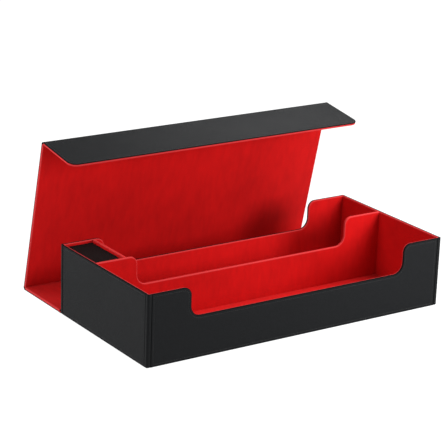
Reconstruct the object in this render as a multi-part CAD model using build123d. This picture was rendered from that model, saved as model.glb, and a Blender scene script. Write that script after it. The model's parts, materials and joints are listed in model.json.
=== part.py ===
from build123d import *

import os
from math import cos, radians, sin

# Card deck box: an open tray with two lengthwise rows, and a three-panel folding cover.
# Origin: centre of the tray's underside. +X along the tray, +Y to the hinged rear, +Z up.
# All sizes in millimetres.

# Tray
TRAY_LENGTH = 510.0
TRAY_DEPTH = 240.0
TRAY_HEIGHT = 106.0
CORNER_RADIUS = 2.6     # outer radius of the four upright corners
CORNER_STRIP = 6.5      # how far each corner strip reaches along its two walls

# Every panel is a board with leather on one side and lining on the other
LEATHER = 0.8
BOARD = 2.6
LINING = 0.8
PANEL = LEATHER + BOARD + LINING

# The long notch that the front wall, the back wall and the row divider share
NOTCH_INSET = 70.0      # from the tray's outer end to the notch's upright side
NOTCH_FLOOR = 62.0      # height of the notch's lower edge
SHOULDER_RADIUS = 12.0
FOOT_RADIUS = 16.0

# Rear row
REAR_ROW_DEPTH = 89.2
PARTITION_START = 50.3  # from the tray's left outer face to the partition
PARTITION_PANEL = 4.0
LOOSE_GAP = 0.4         # around the loose pieces in the rear row
FOAM_BELOW_RIM = 3.8

# Cover, open as it stands: the spine lies flat behind the tray and the lid stands on it
SPINE_REACH = 112.8     # tray's rear face to the outside of the lid fold
LID_LENGTH = 250.4      # outside of one fold to the outside of the other
FLAP_LENGTH = 88.0      # outside of the flap fold to the free edge
SPINE_AXIS_HEIGHT = 1.6
CLOSED_GAP = 0.3        # between the upright spine and the tray's rear face
LID_ANGLE = 77.0        # between the spine's and the lid's inner faces
FLAP_ANGLE = 94.6       # between the lid's and the flap's inner faces
FOLD_GAP = 0.3          # from a fold's line to the edge of each panel
FLAP_CORNER = 13.0

# Disc magnets in the front wall and the flap
MAGNET_RADIUS = 6.0
MAGNET_THICKNESS = 1.9
POCKET_RADIUS = 6.1
POCKET_DEPTH = 2.0
MAGNET_HEIGHT = 36.4    # above the tray's underside, with the box closed
MAGNET_PLACES = (-180.0, -60.0, 60.0, 180.0)

END = TRAY_LENGTH / 2
REAR = TRAY_DEPTH / 2
FRONT = -REAR
INNER_END = END - PANEL
BOARD_END = END - LEATHER - BOARD
NOTCH_HALF = END - NOTCH_INSET
DIVIDER_REAR = REAR - PANEL - REAR_ROW_DEPTH
DIVIDER_FRONT = DIVIDER_REAR - PANEL
DIVIDER_BOARD_FRONT = DIVIDER_FRONT + LINING
DIVIDER_BOARD_REAR = DIVIDER_REAR - LINING
BASE_TOP = LEATHER + BOARD
FLOOR_TOP = BASE_TOP + LINING

SPINE_AXIS_Y = REAR + CLOSED_GAP + PANEL - SPINE_AXIS_HEIGHT
LID_AXIS = (REAR + SPINE_REACH - PANEL, PANEL)
LID_PANEL = LID_LENGTH - 2 * PANEL
LID_TURN = 180 - LID_ANGLE
FLAP_PANEL = FLAP_LENGTH - PANEL
FLAP_TURN = LID_TURN + 180 - FLAP_ANGLE
FLAP_AXIS = (
    LID_AXIS[0] + LID_PANEL * cos(radians(LID_TURN)),
    LID_AXIS[1] + LID_PANEL * sin(radians(LID_TURN)),
)
CLOSED_LID_HEIGHT = SPINE_AXIS_HEIGHT + LID_AXIS[0] - SPINE_AXIS_Y


def block(x_span, y_span, z_span):
    """A box between two values on each axis."""
    spans = (x_span, y_span, z_span)
    middle = [(low + high) / 2 for low, high in spans]
    return Pos(*middle) * Box(*[high - low for low, high in spans])


def upright(face, y_span):
    """A face drawn in X and Z, given thickness between two values of Y."""
    y_low, y_high = y_span
    return extrude(Plane.XZ.offset(-y_high) * face, amount=y_high - y_low)


def notched_outline(half_length, z_low, trim=0.0):
    """A wall with the long notch. trim lowers its upper edge all along, for what wraps over it."""
    top = TRAY_HEIGHT - trim
    side = NOTCH_HALF + trim
    floor = NOTCH_FLOOR - trim
    shoulder = SHOULDER_RADIUS - trim
    foot = FOOT_RADIUS + trim
    points = [
        (-half_length, z_low), (half_length, z_low), (half_length, top), (side, top),
        (side, floor), (-side, floor), (-side, top), (-half_length, top),
    ]
    radii = [0, 0, 0, shoulder, foot, foot, shoulder, 0]
    return make_face(FilletPolyline(*points, radius=radii, close=True))


def notched_wall(half_length, y_span, z_low, trim=0.0):
    return upright(notched_outline(half_length, z_low, trim), y_span)


def tray_outline(inset, z_span):
    """The tray's rounded outline in plan, inset from the outside, between two heights."""
    plan = RectangleRounded(TRAY_LENGTH - 2 * inset, TRAY_DEPTH - 2 * inset, CORNER_RADIUS - inset)
    return extrude(Pos(0, 0, z_span[0]) * plan, amount=z_span[1] - z_span[0])


def magnet_discs(z_span, radius, height):
    """A row of discs along X, their axes along Z, at one place along Y."""
    thickness = z_span[1] - z_span[0]
    middle = (z_span[0] + z_span[1]) / 2
    return [Pos(x, height, middle) * Cylinder(radius, thickness) for x in MAGNET_PLACES]


def join(solids):
    return Compound(children=[solid.solid() for solid in solids])


# ---- tray ----

def front_magnet_discs(radius, thickness, face_gap):
    """Discs lying against the outer side of the front board, facing the flap."""
    start = FRONT + LEATHER + face_gap
    flat = magnet_discs((-start - thickness, -start), radius, MAGNET_HEIGHT)
    return [Rot(90, 0, 0) * disc for disc in flat]


def tray_boards():
    inside = tray_outline(LEATHER, (0, TRAY_HEIGHT))
    board_end = END - LEATHER
    front_span = (FRONT + LEATHER, FRONT + LEATHER + BOARD)
    back_span = (REAR - LEATHER - BOARD, REAR - LEATHER)
    end_span = (FRONT + LEATHER + BOARD, REAR - LEATHER - BOARD)
    end_height = (LEATHER, TRAY_HEIGHT - LINING)
    return {
        "base_board": block((-BOARD_END, BOARD_END), end_span, (LEATHER, BASE_TOP)),
        "front_board": notched_wall(board_end, front_span, LEATHER, LINING) & inside,
        "back_board": notched_wall(board_end, back_span, LEATHER, LINING) & inside,
        "left_board": block((-board_end, -BOARD_END), end_span, end_height) & inside,
        "right_board": block((BOARD_END, board_end), end_span, end_height) & inside,
        "row_divider_board": notched_wall(
            INNER_END, (DIVIDER_BOARD_FRONT, DIVIDER_BOARD_REAR), BASE_TOP, LINING
        ),
    }


def tray_leather():
    """The outer skin: four wall pieces, four rounded corner strips and the underside."""
    skin = tray_outline(0, (0, TRAY_HEIGHT)) - tray_outline(LEATHER, (0, TRAY_HEIGHT))
    along_x = (-END + CORNER_STRIP, END - CORNER_STRIP)
    along_y = (FRONT + CORNER_STRIP, REAR - CORNER_STRIP)
    full_height = (0, TRAY_HEIGHT)
    pieces = {
        "bottom_leather": tray_outline(LEATHER, (0, LEATHER)),
        "front_leather": notched_wall(along_x[1], (FRONT, FRONT + LEATHER), 0),
        "back_leather": notched_wall(along_x[1], (REAR - LEATHER, REAR), 0),
        "left_leather": block((-END, -END + LEATHER), along_y, full_height),
        "right_leather": block((END - LEATHER, END), along_y, full_height),
    }
    for end_name, x_span in (("left", (-END, along_x[0])), ("right", (along_x[1], END))):
        for side_name, y_span in (("front", (FRONT, along_y[0])), ("back", (along_y[1], REAR))):
            corner = skin & block(x_span, y_span, full_height)
            pieces[f"corner_leather_{side_name}_{end_name}"] = corner
    return pieces


def wall_lining(wall_name, boards):
    """Cloth on a wall's inner face that also wraps over the board's upper edge."""
    inside = tray_outline(LEATHER, (0, TRAY_HEIGHT))
    wraps = {
        "front": (FRONT + LEATHER, FRONT + PANEL),
        "back": (REAR - PANEL, REAR - LEATHER),
    }
    end_rows = (FRONT + LEATHER + BOARD, REAR - LEATHER - BOARD)
    if wall_name in wraps:
        whole = notched_wall(END - LEATHER, wraps[wall_name], BASE_TOP)
        ends = wraps[wall_name]
        board_side = (ends[0], ends[0] + BOARD) if wall_name == "front" else (ends[1] - BOARD, ends[1])
        over_board = block((-END, END), board_side, (0, TRAY_HEIGHT))
        face = whole & block((-INNER_END, INNER_END), ends, (0, TRAY_HEIGHT))
        cloth = (whole & over_board) + face
    else:
        sign = -1 if wall_name == "left" else 1
        x_span = sorted((sign * (END - LEATHER), sign * INNER_END))
        cloth = block(x_span, end_rows, (BASE_TOP, TRAY_HEIGHT))
    return (cloth & inside) - boards[f"{wall_name}_board"]


def tray_linings(boards):
    pieces = {f"{name}_lining": wall_lining(name, boards) for name in ("front", "back", "left", "right")}
    floor_x = (-INNER_END, INNER_END)
    floor_z = (BASE_TOP, FLOOR_TOP)
    pieces["front_row_floor_lining"] = block(floor_x, (FRONT + PANEL, DIVIDER_FRONT), floor_z)
    pieces["rear_row_floor_lining"] = block(floor_x, (DIVIDER_REAR, REAR - PANEL), floor_z)
    board = boards["row_divider_board"]
    over = notched_wall(INNER_END, (DIVIDER_FRONT, DIVIDER_BOARD_REAR), BASE_TOP)
    pieces["divider_front_lining"] = over - board
    pieces["divider_rear_lining"] = notched_wall(INNER_END, (DIVIDER_BOARD_REAR, DIVIDER_REAR), BASE_TOP)
    return pieces


def front_wall_with_magnets(board):
    """The front board with a shallow pocket for each magnet, and the magnets."""
    for pocket in front_magnet_discs(POCKET_RADIUS, POCKET_DEPTH, 0):
        board -= pocket
    slack = (POCKET_DEPTH - MAGNET_THICKNESS) / 2
    magnets = front_magnet_discs(MAGNET_RADIUS, MAGNET_THICKNESS, slack)
    return {"front_board": board, "front_wall_magnets": join(magnets)}


def spine_fold_strips():
    """Leather and lining across the narrow groove between the tray and the spine."""
    groove = (REAR, SPINE_AXIS_Y)
    return {
        "spine_fold_leather": block((-END, END), groove, (0, LEATHER)),
        "spine_fold_lining": block((-END, END), groove, (LEATHER, LEATHER + LINING)),
    }


# ---- cover ----
# A cover panel is drawn flat: X along the tray, Y away from its fold, Z = 0 on the lined face.

def panel_plan(length, near, edge_inset=0.0, corner=0.0):
    """The panel's outline in plan. corner rounds its two far corners; edge_inset pulls in its free edges."""
    half = END - edge_inset
    far = length - (edge_inset if corner else 0)
    radius = corner - edge_inset if corner else 0
    points = [(-half, near), (half, near), (half, far), (-half, far)]
    return make_face(FilletPolyline(*points, radius=[0, 0, radius, radius], close=True))


def panel_layer(plan, z_low, z_high):
    return extrude(Pos(0, 0, z_low) * plan, amount=z_high - z_low)


def cover_panel(name, length, near, far_gap, corner=0.0):
    """Leather outside, board, and lining that wraps round the board's free edges."""
    whole = panel_plan(length - far_gap, near, 0, corner)
    inner = panel_plan(length - far_gap, near, LINING, corner)
    board = panel_layer(inner, -LINING - BOARD, -LINING)
    return {
        f"{name}_board": board,
        f"{name}_leather": panel_layer(whole, -PANEL, -LINING - BOARD),
        f"{name}_lining": panel_layer(whole, -LINING - BOARD, 0) - board,
    }


def placed(pieces, axis_y, axis_z, turn):
    """Moves flat pieces to their fold's line and turns them up from the floor by turn degrees."""
    where = Pos(0, axis_y, axis_z) * Rot(turn, 0, 0)
    return {name: where * piece for name, piece in pieces.items()}


def fold_strips(name, axis, turn_start, turn_end):
    """Leather and lining bent round a fold's line, between the outer sides of two panels."""
    sweep = turn_end - turn_start

    def sector(inner_radius, outer_radius):
        ring = Circle(outer_radius)
        if inner_radius:
            ring -= Circle(inner_radius)
        wedge_reach = 3 * outer_radius
        middle = sweep / 2
        wedge = make_face(Polyline(
            (0, 0),
            (wedge_reach, 0),
            (wedge_reach * cos(radians(middle)), wedge_reach * sin(radians(middle))),
            (wedge_reach * cos(radians(sweep)), wedge_reach * sin(radians(sweep))),
            close=True,
        ))
        bent = extrude(ring & wedge, amount=TRAY_LENGTH)
        # Drawn with its axis along Z: stood along X, then turned to where the first panel ends
        along_x = Rot(0, 90, 0) * Rot(0, 0, 90) * bent
        return Pos(-END, axis[0], axis[1]) * Rot(turn_start - 90, 0, 0) * along_x

    return {
        f"{name}_leather": sector(PANEL - LEATHER, PANEL),
        f"{name}_lining": sector(0, LINING),
    }


def spine():
    near = REAR + CLOSED_GAP + PANEL - SPINE_AXIS_HEIGHT + FOLD_GAP
    pieces = cover_panel("spine", LID_AXIS[0], near, FOLD_GAP)
    return placed(pieces, 0, PANEL, 0)


def lid():
    pieces = cover_panel("lid", LID_PANEL, FOLD_GAP, FOLD_GAP)
    return placed(pieces, *LID_AXIS, LID_TURN)


def flap():
    pieces = cover_panel("flap", FLAP_PANEL, FOLD_GAP, 0, FLAP_CORNER)
    magnet_row = CLOSED_LID_HEIGHT - MAGNET_HEIGHT
    pocket_span = (-LINING - POCKET_DEPTH, -LINING)
    for pocket in magnet_discs(pocket_span, POCKET_RADIUS, magnet_row):
        pieces["flap_board"] -= pocket
    slack = (POCKET_DEPTH - MAGNET_THICKNESS) / 2
    magnet_span = (pocket_span[0] + slack, pocket_span[1] - slack)
    pieces["flap_magnets"] = join(magnet_discs(magnet_span, MAGNET_RADIUS, magnet_row))
    return placed(pieces, *FLAP_AXIS, FLAP_TURN)


# ---- loose pieces in the rear row ----

def partition():
    """An upright board that stands across the rear row, lined all round but for its foot."""
    x_span = (-END + PARTITION_START, -END + PARTITION_START + PARTITION_PANEL)
    y_span = (DIVIDER_REAR + LOOSE_GAP, REAR - PANEL - LOOSE_GAP)
    z_span = (FLOOR_TOP + LOOSE_GAP, TRAY_HEIGHT)
    whole = block(x_span, y_span, z_span)
    board = block(
        (x_span[0] + LINING, x_span[1] - LINING),
        (y_span[0] + LINING, y_span[1] - LINING),
        (z_span[0], z_span[1] - LINING),
    )
    return {"partition_board": board, "partition_lining": whole - board}


def foam_block():
    x_span = (-INNER_END + LOOSE_GAP, -END + PARTITION_START - LOOSE_GAP)
    y_span = (DIVIDER_REAR + LOOSE_GAP, REAR - PANEL - LOOSE_GAP)
    return {"foam_block": block(x_span, y_span, (FLOOR_TOP + LOOSE_GAP, TRAY_HEIGHT - FOAM_BELOW_RIM))}


def main():
    boards = tray_boards()
    pieces = {
        **boards,
        **tray_leather(),
        **tray_linings(boards),
        **front_wall_with_magnets(boards["front_board"]),
        **spine_fold_strips(),
        **spine(),
        **fold_strips("lid_fold", LID_AXIS, 0, LID_TURN),
        **lid(),
        **fold_strips("flap_fold", FLAP_AXIS, LID_TURN, FLAP_TURN),
        **flap(),
        **partition(),
        **foam_block(),
    }
    os.makedirs("parts", exist_ok=True)
    for name, piece in pieces.items():
        export_step(piece, os.path.join("parts", f"{name}.step"))
    print(len(pieces), "pieces")
    print("spine axis", SPINE_AXIS_Y, SPINE_AXIS_HEIGHT, "lid axis", LID_AXIS, "flap axis", FLAP_AXIS)


main()
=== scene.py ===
import json
from math import cos, pi, radians, sin

import bmesh
import bpy
from bpy.props import FloatProperty, FloatVectorProperty, IntProperty, PointerProperty
from mathutils import Euler, Matrix, Vector
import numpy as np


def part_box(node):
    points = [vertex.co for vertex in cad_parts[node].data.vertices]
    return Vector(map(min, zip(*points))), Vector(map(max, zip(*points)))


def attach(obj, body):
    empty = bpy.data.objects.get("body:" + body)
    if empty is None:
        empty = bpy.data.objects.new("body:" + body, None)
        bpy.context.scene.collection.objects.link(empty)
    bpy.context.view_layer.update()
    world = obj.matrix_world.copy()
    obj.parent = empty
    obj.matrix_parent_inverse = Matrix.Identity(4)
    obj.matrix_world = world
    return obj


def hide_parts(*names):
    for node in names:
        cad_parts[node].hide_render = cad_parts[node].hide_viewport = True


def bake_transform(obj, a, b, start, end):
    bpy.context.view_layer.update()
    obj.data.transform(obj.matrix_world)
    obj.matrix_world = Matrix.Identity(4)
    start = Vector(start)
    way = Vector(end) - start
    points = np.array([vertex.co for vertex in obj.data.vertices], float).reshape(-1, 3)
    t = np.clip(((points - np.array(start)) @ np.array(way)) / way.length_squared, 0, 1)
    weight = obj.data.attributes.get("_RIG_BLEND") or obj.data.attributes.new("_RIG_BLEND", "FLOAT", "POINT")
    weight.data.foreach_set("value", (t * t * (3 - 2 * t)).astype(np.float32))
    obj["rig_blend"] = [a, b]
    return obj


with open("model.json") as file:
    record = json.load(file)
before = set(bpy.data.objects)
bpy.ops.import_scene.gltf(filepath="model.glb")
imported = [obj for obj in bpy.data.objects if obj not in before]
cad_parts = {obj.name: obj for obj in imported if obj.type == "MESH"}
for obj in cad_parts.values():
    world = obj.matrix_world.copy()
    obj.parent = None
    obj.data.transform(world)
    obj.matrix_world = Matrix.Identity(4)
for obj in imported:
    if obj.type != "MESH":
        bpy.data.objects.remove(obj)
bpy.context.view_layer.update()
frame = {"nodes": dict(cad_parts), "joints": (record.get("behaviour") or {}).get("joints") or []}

bl_info = {
    "name": "Card deck box",
    "version": (1, 0, 0),
    "blender": (4, 5, 0),
    "location": "View3D > Sidebar > Card Box",
    "description": "Leather-covered card box with two lined rows and a folding cover",
    "category": "Object",
}

JOINTS = {joint["name"]: joint for joint in frame["joints"]}
MM = 0.001

# The box's main planes, read from the frame
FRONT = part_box("front_leather")[0].y
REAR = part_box("back_leather")[1].y
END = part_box("right_leather")[1].x
TRAY_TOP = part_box("front_leather")[1].z
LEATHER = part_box("bottom_leather")[1].z
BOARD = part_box("base_board")[1].z - LEATHER
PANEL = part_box("front_lining")[1].y - FRONT
LINING = PANEL - LEATHER - BOARD
INNER_END = END - PANEL
BASE_TOP = LEATHER + BOARD
DIVIDER_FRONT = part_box("divider_front_lining")[0].y
DIVIDER_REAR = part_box("divider_rear_lining")[1].y

SPINE_AXIS = Vector(JOINTS["spine_fold"]["pos_m"])
LID_AXIS = Vector(JOINTS["lid_fold_outer"]["pos_m"])
FLAP_AXIS = Vector(JOINTS["flap_fold"]["pos_m"])
LID_TURN = -radians(JOINTS["lid_fold_outer"]["range_deg"][0])
FLAP_TURN = LID_TURN - radians(JOINTS["flap_fold"]["range_deg"][0])
FIRST_FOLD_STEP = -radians(JOINTS["lid_fold_inner"]["range_deg"][0])
LID_LENGTH = (FLAP_AXIS - LID_AXIS).length
FOLD_GAP = 0.3 * MM
SLACK = 15 * MM           # how far a panel is drawn past the plane that trims it
STITCH_SHARE = 0.72       # a stitch's length, as a share of the pitch
THREAD_LIFT = 0.12 * MM   # the stitches' middle line above the groove's floor
CORNER_STEPS = 8          # faces round a panel's corner


# ---- sizes and colours ----

class CardBoxSizes(bpy.types.PropertyGroup):
    notch_half: FloatProperty(
        name="Notch half length", description="From the middle to the notch's upright side",
        default=0.185, unit="LENGTH")
    notch_floor: FloatProperty(
        name="Notch floor", description="Height of the notch's lower edge",
        default=0.062, unit="LENGTH")
    shoulder_radius: FloatProperty(
        name="Shoulder radius", description="Rounding where the notch meets the rim",
        default=0.012, unit="LENGTH")
    foot_radius: FloatProperty(
        name="Foot radius", description="Rounding at the notch's lower corners",
        default=0.016, unit="LENGTH")
    corner_radius: FloatProperty(
        name="Corner radius", description="Rounding of the tray's upright corners",
        default=0.0026, unit="LENGTH")
    flap_corner: FloatProperty(
        name="Flap corner", description="Rounding of the flap's two free corners",
        default=0.013, unit="LENGTH")
    flap_reach: FloatProperty(
        name="Flap reach", description="From the flap's fold to its free edge",
        default=0.0838, unit="LENGTH")
    leather_edge: FloatProperty(
        name="Leather edge rounding", description="Rounding of the leather's turned edge",
        default=0.0004, unit="LENGTH", precision=5)
    rim_edge: FloatProperty(
        name="Rim rounding", description="Rounding of the lined rim",
        default=0.0010, unit="LENGTH", precision=5)
    stitch_inset: FloatProperty(
        name="Stitch inset", description="From a panel's edge to its row of stitches",
        default=0.0038, unit="LENGTH")
    stitch_pitch: FloatProperty(
        name="Stitch pitch", description="From one stitch to the next",
        default=0.0034, unit="LENGTH")
    thread: FloatProperty(
        name="Thread thickness", description="Thickness of the sewing thread",
        default=0.0005, unit="LENGTH", precision=5)
    leather_turn: FloatProperty(
        name="Leather turned in", description="How far the leather wraps over the rim",
        default=0.0016, unit="LENGTH", precision=5)
    cloth_step: FloatProperty(
        name="Cloth step", description="How far the lining lies behind the leather's edge",
        default=0.00015, unit="LENGTH", precision=5)
    fold_steps: IntProperty(
        name="Fold steps", description="Faces round each fold",
        default=18, min=6)


class CardBoxColours(bpy.types.PropertyGroup):
    leather: FloatVectorProperty(
        name="Leather", description="Black leather",
        default=(0.0078, 0.0083, 0.0091), subtype="COLOR", size=3, min=0, max=1)
    leather_crease: FloatVectorProperty(
        name="Leather creases", description="Leather between the grain",
        default=(0.0036, 0.0040, 0.0046), subtype="COLOR", size=3, min=0, max=1)
    lining: FloatVectorProperty(
        name="Lining", description="Red microfibre",
        default=(0.51, 0.0028, 0.0030), subtype="COLOR", size=3, min=0, max=1)
    lining_deep: FloatVectorProperty(
        name="Lining nap", description="Red microfibre brushed the other way",
        default=(0.37, 0.0013, 0.0017), subtype="COLOR", size=3, min=0, max=1)
    # Painted highlight: a pale red laid along the lining's rounded edges, standing for the sheen they catch.
    painted_edge_highlight: FloatVectorProperty(
        name="Rubbed lining", description="Lining stretched over an edge",
        default=(0.47, 0.050, 0.053), subtype="COLOR", size=3, min=0, max=1)
    thread: FloatVectorProperty(
        name="Thread", description="Black sewing thread",
        default=(0.016, 0.016, 0.017), subtype="COLOR", size=3, min=0, max=1)
    foam: FloatVectorProperty(
        name="Foam", description="Black foam",
        default=(0.0085, 0.0042, 0.0042), subtype="COLOR", size=3, min=0, max=1)
    greyboard: FloatVectorProperty(
        name="Greyboard", description="Board inside the panels",
        default=(0.26, 0.24, 0.21), subtype="COLOR", size=3, min=0, max=1)
    nickel: FloatVectorProperty(
        name="Magnet plating", description="Nickel-plated magnets",
        default=(0.62, 0.61, 0.58), subtype="COLOR", size=3, min=0, max=1)


def sizes():
    return bpy.context.scene.card_box_sizes


def colours():
    return bpy.context.scene.card_box_colours


def scaled(colour, factor):
    """A colour made darker or lighter."""
    return [factor * part for part in colour]


# ---- finishes ----

class Value:
    """A socket in a material, used in ordinary sums."""

    def __init__(self, finish, socket):
        self.finish, self.socket = finish, socket

    def _math(self, operation, *others):
        inputs = dict(enumerate((self, *others)))
        return self.finish.node("ShaderNodeMath", {"operation": operation}, inputs)

    def __add__(self, other):
        return self._math("ADD", other)

    def __sub__(self, other):
        return self._math("SUBTRACT", other)

    def __mul__(self, other):
        return self._math("MULTIPLY", other)

    def __rsub__(self, other):
        return self.finish.node("ShaderNodeMath", {"operation": "SUBTRACT"}, {0: other, 1: self})

    __radd__, __rmul__ = __add__, __mul__


class Finish:
    """A material with one Principled shader."""

    def __init__(self, name, roughness, **constants):
        self.material = bpy.data.materials.new(name)
        self.material.use_nodes = True
        self.tree = self.material.node_tree
        self.shader = self.tree.nodes["Principled BSDF"]
        self.shader.inputs["Roughness"].default_value = roughness
        for socket, value in constants.items():
            self.shader.inputs[socket.replace("_", " ")].default_value = value
        self.places = self.node("ShaderNodeTexCoord", {}, {}, "Object")

    def node(self, kind, settings, inputs, output=0):
        made = self.tree.nodes.new(kind)
        for name, value in settings.items():
            if name == "stops":
                for stop, (position, level) in zip(made.color_ramp.elements, value):
                    stop.position, stop.color = position, (level, level, level, 1)
            else:
                setattr(made, name, value)
        for name, value in inputs.items():
            self.set(made.inputs[name], value)
        return Value(self, made.outputs[output])

    def set(self, socket, value):
        if isinstance(value, Value):
            self.tree.links.new(value.socket, socket)
        else:
            socket.default_value = value

    def noise(self, scale, detail=3.0, roughness=0.55, stretch=None):
        places = self.places if stretch is None else self.node(
            "ShaderNodeMapping", {}, {"Vector": self.places, "Scale": stretch})
        return self.node("ShaderNodeTexNoise", {}, {
            "Vector": places, "Scale": scale, "Detail": detail, "Roughness": roughness}, "Fac")

    def cells(self, scale, feature="DISTANCE_TO_EDGE"):
        return self.node("ShaderNodeTexVoronoi", {"feature": feature}, {
            "Vector": self.places, "Scale": scale}, "Distance")

    def ramp(self, value, low, high, start=0.0, end=1.0):
        return self.node("ShaderNodeValToRGB", {"stops": [(low, start), (high, end)]}, {"Fac": value})

    def mix(self, share, first, second):
        """A colour between two others, each a Value or three numbers."""
        first, second = (colour if isinstance(colour, Value) else (*colour, 1) for colour in (first, second))
        return self.node("ShaderNodeMix", {"data_type": "RGBA"}, {0: share, 6: first, 7: second}, 2)

    def painted_edge_shading(self):
        """How far each place gets the painted edge shading, from 0 to 1: painted shade on leather, a painted
        highlight on lining.
        """
        return self.node("ShaderNodeAttribute", {"attribute_name": "painted_edge_shading"}, {}, "Fac")

    def colour(self, value):
        self.set(self.shader.inputs["Base Color"], value)

    def rough(self, value):
        self.set(self.shader.inputs["Roughness"], value)

    def bump(self, *layers):
        """Each layer is a height, its strength and its depth in metres."""
        below = None
        for height, strength, depth in layers:
            inputs = {"Height": height, "Strength": strength, "Distance": depth}
            if below:
                inputs["Normal"] = below
            below = self.node("ShaderNodeBump", {}, inputs)
        self.set(self.shader.inputs["Normal"], below)


def black_leather():
    """Pebbled leather: rounded grains with fine creases between them, uneven in tone, with painted shade darkening
    it where it turns over an edge.
    """
    finish = Finish("black_leather", 0.5, Specular_IOR_Level=0.08)
    grain = finish.ramp(finish.cells(820), 0.02, 0.42)
    pores = finish.noise(2600, 2.0)
    slow = finish.noise(14, 3.0)
    tone = colours()
    body = finish.mix(slow, tone.leather[:], scaled(tone.leather, 1.35))
    # Painted shade: the marked edges are mixed towards a very dark colour, standing for the shade along the
    # leather's turned edges and seams.
    turned = finish.painted_edge_shading()
    skin = finish.mix(grain, tone.leather_crease[:], body)
    finish.colour(finish.mix(0.8 * turned, skin, scaled(tone.leather_crease, 0.3)))
    finish.rough(0.56 - 0.12 * grain + 0.10 * (slow - 0.5) + 0.05 * pores + 0.45 * turned)
    finish.bump((grain, 0.55, 0.00018), (pores, 0.25, 0.00005), (finish.noise(60, 2.0), 0.12, 0.0008))
    return finish.material


def red_microfibre():
    """Brushed microfibre: fine fibres, patches where the nap lies another way, and a painted highlight along the
    edges it wraps over.
    """
    finish = Finish("red_microfibre", 0.85, Specular_IOR_Level=0.12, Sheen_Weight=0.07, Sheen_Roughness=0.35,
                    Sheen_Tint=(1.0, 0.55, 0.52, 1.0))
    tone = colours()
    fibre = finish.noise(3200, 3.0, 0.7)
    strokes = finish.noise(120, 4.0, 0.6, stretch=(1.0, 0.30, 0.30))
    patches = finish.noise(11, 3.0, 0.5)
    nap = finish.ramp(0.5 * strokes + 0.5 * patches, 0.36, 0.64)
    flat = finish.mix(0.75 * nap + 0.25 * fibre, tone.lining_deep[:], tone.lining[:])
    # Painted highlight: the marked edges are mixed towards the pale red, standing for the sheen along the rims.
    painted_edge_shading = finish.painted_edge_shading()
    finish.colour(finish.mix(painted_edge_shading * (0.72 + 0.4 * fibre), flat, tone.painted_edge_highlight[:]))
    finish.rough(0.80 + 0.15 * fibre)
    finish.bump((fibre, 0.35, 0.00012), (strokes, 0.20, 0.0006))
    return finish.material


def black_thread():
    """Twisted thread."""
    finish = Finish("black_thread", 0.55, Specular_IOR_Level=0.35)
    twist = finish.node("ShaderNodeTexWave", {"wave_type": "BANDS", "bands_direction": "DIAGONAL"}, {
        "Vector": finish.places, "Scale": 900.0, "Distortion": 0.4}, "Fac")
    tone = colours()
    finish.colour(finish.mix(twist, scaled(tone.thread, 0.6), scaled(tone.thread, 1.5)))
    finish.rough(0.66 - 0.16 * twist)
    finish.bump((twist, 0.5, 0.00008))
    return finish.material


def black_foam():
    """Open-cell foam."""
    finish = Finish("black_foam", 0.95, Specular_IOR_Level=0.08)
    cells = finish.ramp(finish.cells(1100), 0.0, 0.30)
    coarse = finish.cells(420, "F1")
    tone = colours()
    depth = 0.7 * cells + 0.3 * finish.noise(90)
    finish.colour(finish.mix(depth, scaled(tone.foam, 0.3), tone.foam[:]))
    finish.rough(0.98 - 0.08 * cells)
    finish.bump((cells, 0.8, 0.0004), (coarse, 0.4, 0.0006))
    return finish.material


def greyboard():
    """Pressed grey board with darker flecks."""
    finish = Finish("greyboard", 0.9, Specular_IOR_Level=0.15)
    flecks = finish.ramp(finish.noise(900, 4.0, 0.7), 0.52, 0.70)
    tone = colours()
    finish.colour(finish.mix(flecks, tone.greyboard[:], scaled(tone.greyboard, 0.6)))
    finish.rough(0.85 + 0.1 * flecks)
    finish.bump((finish.noise(1500, 3.0), 0.3, 0.00008))
    return finish.material


def magnet_nickel():
    """Nickel plating with fine turning marks."""
    finish = Finish("magnet_nickel", 0.3, Metallic=1.0)
    marks = finish.noise(300, 2.0, 0.5, stretch=(1.0, 8.0, 8.0))
    tone = colours()
    finish.colour(finish.mix(marks, scaled(tone.nickel, 0.85), tone.nickel[:]))
    finish.rough(0.22 + 0.18 * marks)
    finish.bump((marks, 0.1, 0.00003))
    return finish.material


def paper_white():
    """The matt white surface the box stands on."""
    finish = Finish("paper_white", 0.95, Specular_IOR_Level=0.0, Emission_Strength=0.96,
                    Emission_Color=(1.0, 1.0, 1.0, 1.0))
    finish.colour(finish.mix(finish.noise(3.0), (0.14, 0.14, 0.14), (0.16, 0.16, 0.16)))
    return finish.material


FINISHES = {}


def finish_named(maker):
    """The material that a function makes, made once and then reused."""
    if maker.__name__ not in FINISHES:
        FINISHES[maker.__name__] = maker()
    return FINISHES[maker.__name__]


# ---- modelling ----
# A panel is drawn flat: X along it, Y up or away from its fold, and Z = 0 on its leather face.

def standing(normal, origin):
    """Stands a panel upright with its leather face towards normal."""
    out = Vector(normal)
    up = Vector((0, 0, 1))
    along = up.cross(out)
    turn = Matrix((along, up, out)).transposed().to_4x4()
    return Matrix.Translation(origin) @ turn


def folded(axis, turn):
    """Puts a cover panel on its fold's line, turned up from the floor, with its leather side outward."""
    flip = Matrix.Diagonal((-1, 1, -1, 1))
    return Matrix.Translation(axis) @ Matrix.Rotation(turn, 4, "X") @ flip @ Matrix.Translation((0, 0, PANEL))


def blank():
    """An empty mesh, with the layer that marks where edges get painted shade on leather and a painted highlight on
    lining.
    """
    bm = bmesh.new()
    bm.verts.layers.float.new("painted_edge_shading")
    return bm


def bevel(bm, geom, radius, steps, affect="EDGES"):
    return bmesh.ops.bevel(bm, geom=geom, offset=radius, offset_type="OFFSET", segments=steps, profile=0.5,
                           affect=affect, material=-1)


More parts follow.
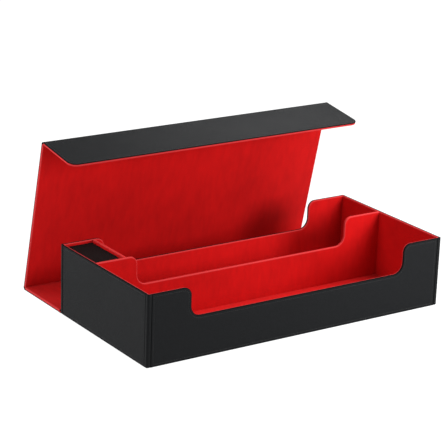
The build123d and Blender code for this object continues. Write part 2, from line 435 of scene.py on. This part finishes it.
def slab(corners, radii, low, high):
    """A closed slab between two heights. Each corner may be rounded."""
    bm = blank()
    points = [bm.verts.new((x, y, low)) for x, y in corners]
    bm.faces.new(points)
    for point, radius in zip(points, radii):
        if radius:
            bevel(bm, [point], radius, CORNER_STEPS, "VERTICES")
    made = bmesh.ops.extrude_face_region(bm, geom=list(bm.faces))
    raised = [item for item in made["geom"] if isinstance(item, bmesh.types.BMVert)]
    bmesh.ops.translate(bm, verts=raised, vec=(0, 0, high - low))
    bmesh.ops.recalc_face_normals(bm, faces=bm.faces)
    return bm


def face_at(bm, height):
    """The slab's flat face at a height."""
    flat = [f for f in bm.faces if all(abs(v.co.z - height) < 1e-6 for v in f.verts)]
    return max(flat, key=lambda f: f.calc_area())


def round_edges(bm, edges, radius, steps, painted_edge_shading=0.0, sides=0.0):
    """Rounds edges. It sets the painted edge shading (shade on leather, a highlight on lining) to one value in the
    middle of the rounding and to sides on its two borders.
    """
    made = bevel(bm, list(edges), radius, steps)
    layer = bm.verts.layers.float["painted_edge_shading"]
    new = set(made["faces"])
    for vert in made["verts"]:
        inner = all(face in new for face in vert.link_faces)
        vert[layer] = painted_edge_shading if inner else sides


def inset(bm, face, width, depth=0.0):
    """Draws a face in by a width and a depth, clears its painted edge shading and returns its new corners."""
    bmesh.ops.inset_region(bm, faces=[face], thickness=width, depth=depth, use_even_offset=True,
                           use_boundary=True)
    layer = bm.verts.layers.float["painted_edge_shading"]
    for vert in face.verts:
        vert[layer] = 0.0
    return [v.co.copy() for v in face.verts]


def trim(bm, cuts):
    """Cuts a panel off at planes, each a point and the direction to remove, and closes the cut."""
    for point, away in cuts:
        geom = list(bm.verts) + list(bm.edges) + list(bm.faces)
        bmesh.ops.bisect_plane(bm, geom=geom, dist=1e-7, plane_co=point, plane_no=away, clear_outer=True)
        bmesh.ops.holes_fill(bm, edges=[e for e in bm.edges if e.is_boundary], sides=0)
    bmesh.ops.recalc_face_normals(bm, faces=bm.faces)


def add_piece(bm, name, maker, body, stands_for=(), where=None, sharp=35):
    """Makes the finished piece, in place, riding on its body unless body is None.

    Its slot has its finish's name.
    """
    if where is not None:
        bm.transform(where)
    for face in bm.faces:
        face.smooth = True
    for edge in bm.edges:
        edge.smooth = edge.is_manifold and edge.calc_face_angle(0.0) < radians(sharp)
    mesh = bpy.data.meshes.new(name)
    bm.to_mesh(mesh)
    bm.free()
    mesh.materials.append(finish_named(maker))
    piece = bpy.data.objects.new(name, mesh)
    bpy.context.scene.collection.objects.link(piece)
    if body:
        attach(piece, body)
    if stands_for:
        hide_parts(*stands_for)
    return piece


def stitches(path, name, body, where, keep=None):
    """A row of stitches along a closed path of points on a panel's face, where keep allows them."""
    size = sizes()
    half, thick = STITCH_SHARE * size.stitch_pitch / 2, size.thread / 2
    stitch = bmesh.new()
    bmesh.ops.create_uvsphere(stitch, u_segments=6, v_segments=5, radius=1.0)
    bmesh.ops.scale(stitch, vec=(thick, thick, half), verts=stitch.verts)
    bmesh.ops.rotate(stitch, matrix=Matrix.Rotation(pi / 2, 3, "Y"), verts=stitch.verts)
    one = bpy.data.meshes.new("one_stitch")
    stitch.to_mesh(one)
    stitch.free()
    row = bmesh.new()
    laid = Matrix.Identity(4)
    spare = 0.0
    for start, end in zip(path, path[1:] + path[:1]):
        run = end - start
        travel = -spare
        heading = Matrix.Rotation(Vector((1, 0)).angle_signed(run.xy, 0.0) * -1, 4, "Z")
        while travel + size.stitch_pitch <= run.length:
            travel += size.stitch_pitch
            place = start + run * (travel / run.length)
            if keep and not keep(place):
                continue
            goal = Matrix.Translation(place) @ heading
            one.transform(goal @ laid.inverted())
            laid = goal
            row.from_mesh(one)
        spare = run.length - travel
    bpy.data.meshes.remove(one)
    if not row.verts:
        row.free()
        return None
    return add_piece(row, name, black_thread, body, where=where, sharp=80)


def leather_panel(node, body, corners, radii, where, cuts=(), keep=None, thread_lift=THREAD_LIFT, turn=None):
    """A leather skin with a rounded edge and a pressed line for its stitches.

    Its edge wraps over the rim by turn, or by the box's usual leather_turn.
    """
    size = sizes()
    edge_band, groove_side, groove_floor, groove_depth = 1.0 * MM, 0.6 * MM, 0.1 * MM, 0.22 * MM
    bm = slab(corners, radii, -LEATHER - (size.leather_turn if turn is None else turn), 0.0)
    # Painted shade: the whole skin starts marked for edge darkening and the rounding keeps it. The insets below
    # clear it from the face, so only the turned edge is darkened.
    layer = bm.verts.layers.float["painted_edge_shading"]
    for vert in bm.verts:
        vert[layer] = 1.0
    round_edges(bm, face_at(bm, 0.0).edges, size.leather_edge, 3, painted_edge_shading=1.0, sides=0.8)
    face = face_at(bm, 0.0)
    inset(bm, face, edge_band)
    inset(bm, face, size.stitch_inset - size.leather_edge - edge_band - groove_side)
    inset(bm, face, groove_side, -groove_depth)
    path = inset(bm, face, groove_floor)
    inset(bm, face, groove_side, groove_depth)
    inset(bm, face, edge_band)
    trim(bm, cuts)
    add_piece(bm, f"{node}_skin", black_leather, body, (node,), where)
    lift = Vector((0, 0, thread_lift))
    stitches([point + lift for point in path], f"{node}_stitching", body, where, keep)


def lined_panel(node, body, corners, radii, where, cuts=(), low=-PANEL, high=-LEATHER, both_edges=True):
    """A board wrapped in microfibre: soft rounded rims on the lined face and along the leather."""
    rim = sizes().rim_edge
    seam_band, highlight_fade_band, soft_band = 0.3 * MM, 0.7 * MM, 2.0 * MM
    bm = slab(corners, radii, low, high)
    if both_edges:
        # Painted highlight on the rims' roundings, fading out over the narrow bands inset inside them.
        round_edges(bm, face_at(bm, high).edges, 0.8 * rim, 4, painted_edge_shading=0.5, sides=0.5)
        inset(bm, face_at(bm, high), seam_band)
    round_edges(bm, face_at(bm, low).edges, min(rim, 0.45 * (high - low)), 4, painted_edge_shading=0.6, sides=0.5)
    face = face_at(bm, low)
    inset(bm, face, highlight_fade_band)
    inset(bm, face, soft_band)
    trim(bm, cuts)
    add_piece(bm, f"{node}_cloth", red_microfibre, body, (node,), where)


def notched(half, low, trim_off=0.0):
    """A wall with the long notch: its corners and their roundings. trim_off sets its upper edge back."""
    size = sizes()
    top = TRAY_TOP - trim_off
    side, floor = size.notch_half + trim_off, size.notch_floor - trim_off
    corners = [(-half, low), (half, low), (half, top), (side, top), (side, floor),
               (-side, floor), (-side, top), (-half, top)]
    shoulder, foot = size.shoulder_radius - trim_off, size.foot_radius + trim_off
    return corners, [0, 0, 0, shoulder, foot, foot, shoulder, 0]


def plain(half, low, high, near=0.0, far=0.0):
    """A rectangle's corners, and the rounding of its two near and two far corners."""
    return [(-half, low), (half, low), (half, high), (-half, high)], [near, near, far, far]


def turned_strip(name, maker, body_pair, axis, start, sweep, inner, outer):
    """A strip between two depths, bent round a fold's line from the angle start through sweep."""
    bm = blank()
    reach = Matrix.Rotation(start, 4, "X")
    corners = [(-END, 0, -inner), (END, 0, -inner), (END, 0, -outer), (-END, 0, -outer)]
    profile = bm.faces.new([bm.verts.new(reach @ Vector(corner)) for corner in corners])
    outline = [profile] + list(profile.edges) + list(profile.verts)
    bmesh.ops.spin(bm, geom=outline, cent=(0, 0, 0), axis=(1, 0, 0), dvec=(0, 0, 0), angle=sweep,
                   steps=sizes().fold_steps, use_merge=False, use_normal_flip=False, use_duplicate=False)
    bmesh.ops.remove_doubles(bm, verts=bm.verts, dist=1e-7)
    bmesh.ops.recalc_face_normals(bm, faces=bm.faces)
    piece = add_piece(bm, name, maker, None, where=Matrix.Translation(axis))
    first = axis + Matrix.Rotation(start, 3, "X") @ Vector((0, 0, -outer))
    last = axis + Matrix.Rotation(start + sweep, 3, "X") @ Vector((0, 0, -outer))
    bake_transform(piece, *body_pair, start=first, end=last)
    return piece


# ---- the pieces ----

class PieceOperator(bpy.types.Operator):
    bl_options = {"REGISTER", "UNDO"}


class CARDBOX_OT_stage(PieceOperator):
    """White floor, soft light from all round and the camera"""
    bl_idname = "cardbox.stage"
    bl_label = "Stage"

    def execute(self, context):
        scene = context.scene
        scene.view_settings.view_transform = "Standard"
        self.floor(scene)
        self.surround(scene)
        self.softbox("key", place=(0.52, -0.72, 0.41), side=0.36, power=9.8, aim=(0.14, 0.05, 0.10))
        self.softbox("left fill", place=(-1.25, 0.05, 0.6), side=0.6, power=8.5)
        self.softbox("top", place=(0.6, -0.1, 1.2), side=0.6, power=14.0, aim=(0.15, 0.1, 0.2))
        self.softbox("back", place=(0.85, 0.95, 0.85), side=0.5, power=0.60, aim=(0.20, 0.13, 0.24),
                     spread=90)
        self.softbox("back fill", place=(-1.1, 1.9, 0.8), side=1.2, power=14.0)
        self.camera(scene)
        return {"FINISHED"}

    def floor(self, scene):
        bm = bmesh.new()
        bmesh.ops.create_grid(bm, x_segments=8, y_segments=8, size=6.0)
        bmesh.ops.translate(bm, verts=bm.verts, vec=(0, 0, -0.4 * MM))
        mesh = bpy.data.meshes.new("floor")
        bm.to_mesh(mesh)
        bm.free()
        mesh.materials.append(finish_named(paper_white))
        table = bpy.data.objects.new("floor", mesh)
        scene.collection.objects.link(table)

    def surround(self, scene):
        world = bpy.data.worlds.new("studio")
        world.use_nodes = True
        background = world.node_tree.nodes["Background"]
        background.inputs["Color"].default_value = (1.0, 1.0, 1.0, 1.0)
        background.inputs["Strength"].default_value = 0.50
        scene.world = world

    def softbox(self, name, place, side, power, aim=(0, 0, 0.1), spread=180):
        light = bpy.data.lights.new(name, "AREA")
        light.shape = "SQUARE"
        light.size = side
        light.energy = power
        light.spread = radians(spread)
        holder = bpy.data.objects.new(name, light)
        bpy.context.scene.collection.objects.link(holder)
        facing = (Vector(aim) - Vector(place)).to_track_quat("-Z", "Y")
        holder.matrix_world = Matrix.Translation(place) @ facing.to_matrix().to_4x4()
        holder.visible_camera = False

    def camera(self, scene):
        camera = bpy.data.cameras.new("camera")
        camera.sensor_width = 36.0
        camera.lens = 149.9
        camera.clip_end = 50.0
        holder = bpy.data.objects.new("camera", camera)
        scene.collection.objects.link(holder)
        place = (-1.49563, -2.10306, 0.97933)
        tilt, lean, turn = (radians(degrees) for degrees in (71.7716, -1.9128, -33.7993))
        holder.matrix_world = Matrix.Translation(place) @ Euler((tilt, lean, turn)).to_matrix().to_4x4()
        scene.camera = holder


class CARDBOX_OT_hidden_parts(PieceOperator):
    """Greyboard and magnets inside the panels"""
    bl_idname = "cardbox.hidden_parts"
    bl_label = "Boards and magnets"

    def execute(self, context):
        for ending, maker in (("_board", greyboard), ("_magnets", magnet_nickel)):
            for name, node in frame["nodes"].items():
                if name.endswith(ending):
                    node.data.materials.clear()
                    node.data.materials.append(finish_named(maker))
        return {"FINISHED"}


class CARDBOX_OT_wall_leather(PieceOperator):
    """Leather on the tray's four walls, with stitched edges"""
    bl_idname = "cardbox.wall_leather"
    bl_label = "Wall leather"

    def execute(self, context):
        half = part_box("front_leather")[1].x
        leather_panel("front_leather", "tray", *notched(half, 0), standing((0, -1, 0), (0, FRONT, 0)))
        leather_panel("back_leather", "tray", *notched(half, 0), standing((0, 1, 0), (0, REAR, 0)))
        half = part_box("left_leather")[1].y
        leather_panel("left_leather", "tray", *plain(half, 0, TRAY_TOP), standing((-1, 0, 0), (-END, 0, 0)))
        leather_panel("right_leather", "tray", *plain(half, 0, TRAY_TOP), standing((1, 0, 0), (END, 0, 0)))
        return {"FINISHED"}


class CARDBOX_OT_underside(PieceOperator):
    """Leather under the tray"""
    bl_idname = "cardbox.underside"
    bl_label = "Underside"

    def execute(self, context):
        half = REAR - LEATHER
        corner = sizes().corner_radius - LEATHER
        edge, edge_band = 0.3 * MM, 1.0 * MM
        bm = slab(*plain(END - LEATHER, -half, half, corner, corner), 0.0, LEATHER)
        round_edges(bm, face_at(bm, 0.0).edges, edge, 2)
        inset(bm, face_at(bm, 0.0), edge_band)
        add_piece(bm, "bottom_leather_skin", black_leather, "tray", ("bottom_leather",))
        return {"FINISHED"}


class CARDBOX_OT_corner_strips(PieceOperator):
    """Rounded leather strips over the tray's upright corners, proud of the walls, with a seam at each side"""
    bl_idname = "cardbox.corner_strips"
    bl_label = "Corner strips"

    def execute(self, context):
        for side_x, end_name in ((-1, "left"), (1, "right")):
            for side_y, side_name in ((-1, "front"), (1, "back")):
                self.strip(side_x, side_y, f"corner_leather_{side_name}_{end_name}")
        return {"FINISHED"}

    def strip(self, side_x, side_y, node):
        proud, gap, foot, below_top, border_edge = 0.18 * MM, 0.15 * MM, 0.3 * MM, 0.2 * MM, 0.5 * MM
        low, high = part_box(node)
        width = high.x - low.x - gap
        x, y = side_x * (END + proud), side_y * (REAR + proud)
        bm = blank()
        plan = [(x - side_x * width, y), (x, y), (x, y - side_y * width)]
        line = [bm.verts.new((a, b, foot)) for a, b in plan]
        edges = [bm.edges.new(pair) for pair in zip(line, line[1:])]
        made = bmesh.ops.extrude_edge_only(bm, edges=edges)
        raised = [item for item in made["geom"] if isinstance(item, bmesh.types.BMVert)]
        bmesh.ops.translate(bm, verts=raised, vec=(0, 0, TRAY_TOP - below_top))
        corner = [e for e in bm.edges if all((v.co.xy - Vector((x, y))).length < 1e-6 for v in e.verts)]
        bevel(bm, corner, sizes().corner_radius + proud, CORNER_STEPS)
        bmesh.ops.recalc_face_normals(bm, faces=bm.faces)
        outward = Vector((side_x, side_y, 0))
        if sum(face.normal.dot(outward) for face in bm.faces) < 0:
            bmesh.ops.reverse_faces(bm, faces=bm.faces)
        bmesh.ops.solidify(bm, geom=list(bm.faces), thickness=LEATHER + sizes().leather_turn)
        bmesh.ops.recalc_face_normals(bm, faces=bm.faces)

        def on_outside(vert):
            on_a_wall = min(abs(vert.co.x - side_x * END), abs(vert.co.y - side_y * REAR)) < proud + 1e-6
            return on_a_wall or (vert.co.xy - Vector((x, y))).length < 3 * MM

        border = [edge for edge in bm.edges
                  if edge.calc_face_angle(0.0) > radians(60) and all(on_outside(vert) for vert in edge.verts)]
        # Painted shade along the strip's outer borders, for the dark seams beside it.
        round_edges(bm, border, border_edge, 3, painted_edge_shading=1.0, sides=0.1)
        add_piece(bm, f"{node}_skin", black_leather, "tray", (node,))


class CARDBOX_OT_wall_lining(PieceOperator):
    """Microfibre on the walls' inner faces and over their upper edges"""
    bl_idname = "cardbox.wall_lining"
    bl_label = "Wall lining"

    def execute(self, context):
        step = sizes().cloth_step
        low = BASE_TOP - SLACK
        foot = [((0, BASE_TOP, 0), (0, -1, 0))]
        for node, side in (("front_lining", -1), ("back_lining", 1)):
            lined_panel(node, "tray", *notched(END - LEATHER, low, step),
                        standing((0, side, 0), (0, side * REAR, 0)), foot)
        tucked_in = 0.9 * MM
        half = REAR - PANEL + tucked_in
        ends = [((half, 0, 0), (1, 0, 0)), ((-half, 0, 0), (-1, 0, 0))]
        for node, side in (("left_lining", -1), ("right_lining", 1)):
            lined_panel(node, "tray", *plain(half + SLACK, low, TRAY_TOP - step),
                        standing((side, 0, 0), (side * END, 0, 0)), foot + ends)
        return {"FINISHED"}


class CARDBOX_OT_divider(PieceOperator):
    """The lined wall between the two rows"""
    bl_idname = "cardbox.divider"
    bl_label = "Row divider"

    def execute(self, context):
        low = BASE_TOP - SLACK
        foot = [((0, BASE_TOP, 0), (0, -1, 0))]
        ends = [((INNER_END, 0, 0), (1, 0, 0)), ((-INNER_END, 0, 0), (-1, 0, 0))]
        cuts = foot + ends
        seam = DIVIDER_REAR - LINING
        facing_rear = standing((0, 1, 0), (0, seam, 0))
        lined_panel("divider_front_lining", "tray", *notched(INNER_END + SLACK, low), facing_rear, cuts,
                    low=DIVIDER_FRONT - seam, high=0.0)
        facing_front = standing((0, -1, 0), (0, seam, 0))
        lined_panel("divider_rear_lining", "tray", *notched(INNER_END + SLACK, low), facing_front, cuts,
                    low=-LINING, high=0.0, both_edges=False)
        return {"FINISHED"}


class CARDBOX_OT_floors(PieceOperator):
    """Microfibre on the floors of the two rows"""
    bl_idname = "cardbox.floors"
    bl_label = "Row floors"

    def execute(self, context):
        edge, soft_band = 0.35 * MM, 2.0 * MM
        for node in ("front_row_floor_lining", "rear_row_floor_lining"):
            low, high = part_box(node)
            corners = [(low.x, low.y), (high.x, low.y), (high.x, high.y), (low.x, high.y)]
            bm = slab(corners, [0] * 4, low.z, high.z)
            round_edges(bm, face_at(bm, high.z).edges, edge, 3)
            inset(bm, face_at(bm, high.z), soft_band)
            add_piece(bm, f"{node}_cloth", red_microfibre, "tray", (node,))
        return {"FINISHED"}


class CARDBOX_OT_spine_fold(PieceOperator):
    """Leather and lining across the groove between the tray and the spine"""
    bl_idname = "cardbox.spine_fold"
    bl_label = "Spine fold"

    def execute(self, context):
        tucked_in, bands = 0.5 * MM, 10
        near, far = REAR - tucked_in, SPINE_AXIS.y + FOLD_GAP + tucked_in
        for node, maker in (("spine_fold_leather", black_leather), ("spine_fold_lining", red_microfibre)):
            low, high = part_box(node)
            bm = slab(*plain(END, near, far), low.z, high.z)
            for band in range(1, bands):
                whole = list(bm.verts) + list(bm.edges) + list(bm.faces)
                place = (0, near + (far - near) * band / bands, 0)
                bmesh.ops.bisect_plane(bm, geom=whole, plane_co=place, plane_no=(0, 1, 0))
            strip = add_piece(bm, f"{node}_strip", maker, None, (node,))
            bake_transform(strip, "tray", "spine", start=(0, REAR, low.z), end=(0, SPINE_AXIS.y + FOLD_GAP, low.z))
        return {"FINISHED"}


def cover_panel(name, axis, turn, near, far, free_corner=0.0, thread_lift=THREAD_LIFT):
    """A cover panel between two folds, or from its fold to a free edge with rounded corners."""
    wrapped_over = 0.4 * MM
    free = free_corner > 0
    where = folded(axis, turn)
    cuts = [((0, near, 0), (0, -1, 0))]
    if not free:
        cuts.append(((0, far, 0), (0, 1, 0)))
    outline = plain(END, near - SLACK, far if free else far + SLACK, far=free_corner)
    leather_panel(f"{name}_leather", name, *outline, where, cuts,
                  lambda place: near + MM < place.y < far - MM, thread_lift, wrapped_over)
    step = sizes().cloth_step
    outline = plain(END - step, near - SLACK, far - step if free else far + SLACK, far=free_corner)
    lined_panel(f"{name}_lining", name, *outline, where, cuts)


class CARDBOX_OT_spine(PieceOperator):
    """The cover's spine, flat behind the tray"""
    bl_idname = "cardbox.spine"
    bl_label = "Spine"

    def execute(self, context):
        low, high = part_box("spine_leather")
        sunk = -0.04 * MM    # this panel lies on the table, so its stitches stay inside the groove
        cover_panel("spine", Vector((0, 0, PANEL)), 0.0, low.y, high.y, thread_lift=sunk)
        return {"FINISHED"}


class CARDBOX_OT_lid(PieceOperator):
    """The lid, standing on the spine"""
    bl_idname = "cardbox.lid"
    bl_label = "Lid"

    def execute(self, context):
        cover_panel("lid", LID_AXIS, LID_TURN, FOLD_GAP, LID_LENGTH - FOLD_GAP)
        return {"FINISHED"}


class CARDBOX_OT_flap(PieceOperator):
    """The flap that closes over the tray's front wall"""
    bl_idname = "cardbox.flap"
    bl_label = "Flap"

    def execute(self, context):
        cover_panel("flap", FLAP_AXIS, FLAP_TURN, FOLD_GAP, sizes().flap_reach, sizes().flap_corner)
        return {"FINISHED"}


class CARDBOX_OT_folds(PieceOperator):
    """Soft leather and lining round the lid's fold and the flap's fold"""
    bl_idname = "cardbox.folds"
    bl_label = "Lid and flap folds"

    def execute(self, context):
        leather_depths = (PANEL - LEATHER, PANEL)
        lining_depths = (0.02 * MM, LINING)
        for kind, maker, depths in (("leather", black_leather, leather_depths),
                                    ("lining", red_microfibre, lining_depths)):
            first = turned_strip(f"lid_fold_{kind}_lower", maker, ("spine", "lid_fold"), LID_AXIS,
                                 0.0, FIRST_FOLD_STEP, *depths)
            turned_strip(f"lid_fold_{kind}_upper", maker, ("lid_fold", "lid"), LID_AXIS,
                         FIRST_FOLD_STEP, LID_TURN - FIRST_FOLD_STEP, *depths)
            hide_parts(f"lid_fold_{kind}")
            bent = turned_strip(f"flap_fold_{kind}_strip", maker, ("lid", "flap"), FLAP_AXIS,
                                LID_TURN, FLAP_TURN - LID_TURN, *depths)
            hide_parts(f"flap_fold_{kind}")
        return {"FINISHED"}


class CARDBOX_OT_partition(PieceOperator):
    """The lined partition that slides along the rear row"""
    bl_idname = "cardbox.partition"
    bl_label = "Partition"

    def execute(self, context):
        low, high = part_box("partition_lining")
        half, thickness = (high.y - low.y) / 2, high.x - low.x
        top_corner, edge, highlight_fade_band, soft_band = 3.5 * MM, 0.9 * MM, 0.8 * MM, 1.0 * MM
        bm = slab(*plain(half, low.z, high.z, far=top_corner), -thickness, 0.0)
        for height in (0.0, -thickness):
            # Painted highlight on the partition's rounded edges, fading out over the inset band inside them.
            round_edges(bm, face_at(bm, height).edges, edge, 4, painted_edge_shading=0.6, sides=0.25)
            inset(bm, face_at(bm, height), highlight_fade_band)
            inset(bm, face_at(bm, height), soft_band)
        middle = (low.y + high.y) / 2
        add_piece(bm, "partition_lining_cloth", red_microfibre, "partition", ("partition_lining",),
                  standing((1, 0, 0), (high.x, middle, 0)))
        return {"FINISHED"}


class CARDBOX_OT_foam(PieceOperator):
    """The black foam block in the rear row's end"""
    bl_idname = "cardbox.foam"
    bl_label = "Foam block"

    def execute(self, context):
        low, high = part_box("foam_block")
        centre, size = (low + high) / 2, high - low
        edge, clearance, dent = 1.2 * MM, 0.1 * MM, 0.35 * MM
        bm = blank()
        bmesh.ops.create_cube(bm, size=1.0)
        bmesh.ops.subdivide_edges(bm, edges=list(bm.edges), cuts=15, use_grid_fill=True)
        bmesh.ops.scale(bm, vec=size, verts=bm.verts)
        bmesh.ops.translate(bm, vec=centre, verts=bm.verts)
        round_edges(bm, [e for e in bm.edges if e.calc_face_angle(0.0) > radians(60)], edge, 4)
        for vert in bm.verts:
            x, y, z = vert.co
            worn = dent * abs(sin(190 * x) * cos(150 * y) + 0.6 * sin(120 * z))
            vert.co -= (vert.co - centre).normalized() * (worn + clearance)
        foam = add_piece(bm, "foam_block_cut", black_foam, "foam_block", ("foam_block",))
        return {"FINISHED"}


class CARDBOX_PT_panel(bpy.types.Panel):
    """Lists the box's sizes, colours and pieces"""
    bl_idname = "CARDBOX_PT_panel"
    bl_label = "Card deck box"
    bl_space_type = "VIEW_3D"
    bl_region_type = "UI"
    bl_category = "Card Box"

    def draw(self, context):
        column = self.layout.column(align=True)
        for group in (context.scene.card_box_sizes, context.scene.card_box_colours):
            for name in group.__annotations__:
                column.prop(group, name)
            column.separator()
        for operator in OPERATORS:
            column.operator(operator.bl_idname)


OPERATORS = (
    CARDBOX_OT_stage, CARDBOX_OT_hidden_parts, CARDBOX_OT_wall_leather, CARDBOX_OT_underside,
    CARDBOX_OT_corner_strips, CARDBOX_OT_wall_lining, CARDBOX_OT_divider, CARDBOX_OT_floors,
    CARDBOX_OT_spine_fold, CARDBOX_OT_spine, CARDBOX_OT_lid, CARDBOX_OT_flap, CARDBOX_OT_folds,
    CARDBOX_OT_partition, CARDBOX_OT_foam,
)


def register():
    for item in (CardBoxSizes, CardBoxColours, *OPERATORS, CARDBOX_PT_panel):
        bpy.utils.register_class(item)
    bpy.types.Scene.card_box_sizes = PointerProperty(type=CardBoxSizes)
    bpy.types.Scene.card_box_colours = PointerProperty(type=CardBoxColours)


def unregister():
    del bpy.types.Scene.card_box_colours
    del bpy.types.Scene.card_box_sizes
    for item in reversed((CardBoxSizes, CardBoxColours, *OPERATORS, CARDBOX_PT_panel)):
        bpy.utils.unregister_class(item)


def main():
    register()
    for operator in OPERATORS:
        group, name = operator.bl_idname.split(".")
        getattr(getattr(bpy.ops, group), name)()


if __name__ == "__main__":
    main()
